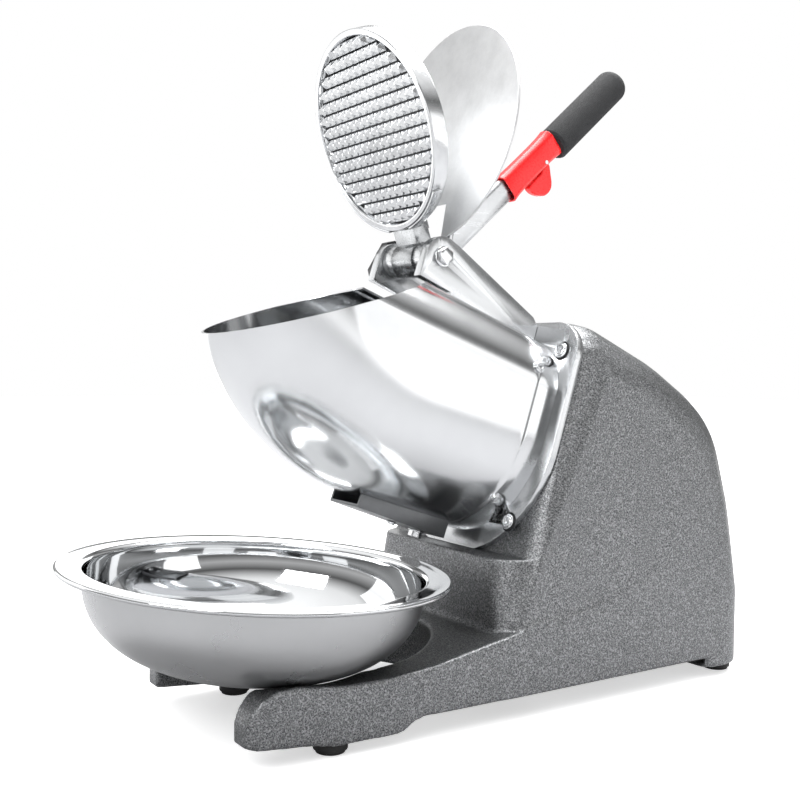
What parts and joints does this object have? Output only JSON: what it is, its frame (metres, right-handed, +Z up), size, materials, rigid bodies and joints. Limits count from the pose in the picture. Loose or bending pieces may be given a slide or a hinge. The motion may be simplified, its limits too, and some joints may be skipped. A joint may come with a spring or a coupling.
{
  "type": "shaved ice machine",
  "caption": "Electric shaved ice machine with a tilted drum hopper, hinged lid, toothed pusher on a hand lever, cast hammertone body and a loose steel bowl.",
  "frame": {"origin": "on the table under the middle of the whole machine's outline, seen from above", "axes": "+Z up; -Y to the front, where the bowl is; +Y to the rear; +X to the right seen from behind"},
  "size_m": [0.2599, 0.5268, 0.4884],
  "materials": {
    "hammertone": "hammertone",
    "zinc_sheet": "satin",
    "screw_steel": "polished",
    "plate_steel": "polished",
    "hopper_steel": "satin polished",
    "tray_steel": "dark satin",
    "bronze": "sintered",
    "hub_aluminium": "satin",
    "pusher_aluminium": "polished cast",
    "lever_steel": "satin",
    "red_plastic": "gloss",
    "grip_foam": "matte foam",
    "foot_rubber": "matte",
    "black_plastic": "satin",
    "lid_steel": "satin",
    "iron_core": "laminated",
    "winding": "enamelled winding",
    "motor_paint": "cast",
    "capacitor_can": "smooth",
    "bowl_steel": "mirror polished"
  },
  "bodies": {
    "machine": {"body_casting": "hammertone", "bottom_cover": "zinc_sheet", "bottom_cover_screws": "screw_steel", "rubber_feet": "foot_rubber", "foot_screws": "screw_steel", "front_plate": "plate_steel", "plate_screws": "screw_steel", "hopper": "hopper_steel", "hopper_screws": "screw_steel", "drum_ring": "plate_steel", "outlet_tray": "tray_steel", "tray_fasteners": "screw_steel", "hinge_cheek_left": "plate_steel", "hinge_cheek_right": "plate_steel", "cheek_screws": "screw_steel", "hinge_shaft": "screw_steel", "shaft_nut": "screw_steel", "nut_cap": "black_plastic", "shaft_seal": "foot_rubber", "bearing_front": "screw_steel", "bearing_rear": "screw_steel", "motor_housing": "motor_paint", "stator": "winding", "motor_end_bell": "motor_paint", "motor_screws": "screw_steel", "capacitor": "capacitor_can", "power_switch": "black_plastic", "cord_gland": "foot_rubber"},
    "lever": {"pusher_hub": "hub_aluminium", "hinge_bushes": "bronze", "pusher_plate": "pusher_aluminium", "pusher_clip": "plate_steel", "pusher_screws": "screw_steel", "lever_bar": "lever_steel", "handle_sleeve": "red_plastic", "foam_grip": "grip_foam", "trigger_pin": "screw_steel", "trigger_spring": "screw_steel"},
    "trigger": {"trigger": "red_plastic"},
    "lid": {"lid_plate": "lid_steel", "lid_hinge": "plate_steel"},
    "rotor": {"motor_shaft": "screw_steel", "rotor_core": "iron_core", "cooling_fan": "black_plastic", "cutter_disc": "hub_aluminium", "cutter_blades": "plate_steel", "blade_screws": "screw_steel"},
    "rocker": {"switch_rocker": "red_plastic"},
    "bowl": {"ice_bowl": "bowl_steel"}
  },
  "joints": [
    {"name": "lever_swing", "type": "hinge", "parent": "machine", "child": "lever", "pos_m": [0, -0.0095, 0.316], "axis": [1, 0, 0], "range_deg": [0, 143]},
    {"name": "lid_swing", "type": "hinge", "parent": "machine", "child": "lid", "pos_m": [0, -0.0095, 0.316], "axis": [1, 0, 0], "range_deg": [0, 121.8]},
    {"name": "trigger_pull", "type": "hinge", "parent": "lever", "child": "trigger", "pos_m": [0, 0.10743, 0.39822], "axis": [-1, 0, 0], "range_deg": [0, 8], "stiffness_Nm_per_rad": 0.05, "springref_deg": -11.46},
    {"name": "cutter_spin", "type": "hinge", "parent": "machine", "child": "rotor", "pos_m": [0, -0.04117, 0.21852], "axis": [0, 0.9511, -0.309], "continuous": true},
    {"name": "switch_rock", "type": "hinge", "parent": "machine", "child": "rocker", "pos_m": [-0.03, 0.253, 0.04], "axis": [1, 0, 0], "range_deg": [0, 20]},
    {"name": "bowl_lift", "type": "slide", "parent": "machine", "child": "bowl", "axis": [0, -0.866, 0.5], "range_m": [0, 0.15]}
  ],
  "couplings": [
    {"joint": "lid_swing", "follows": "lever_swing", "ratio": 0.851}
  ]
}
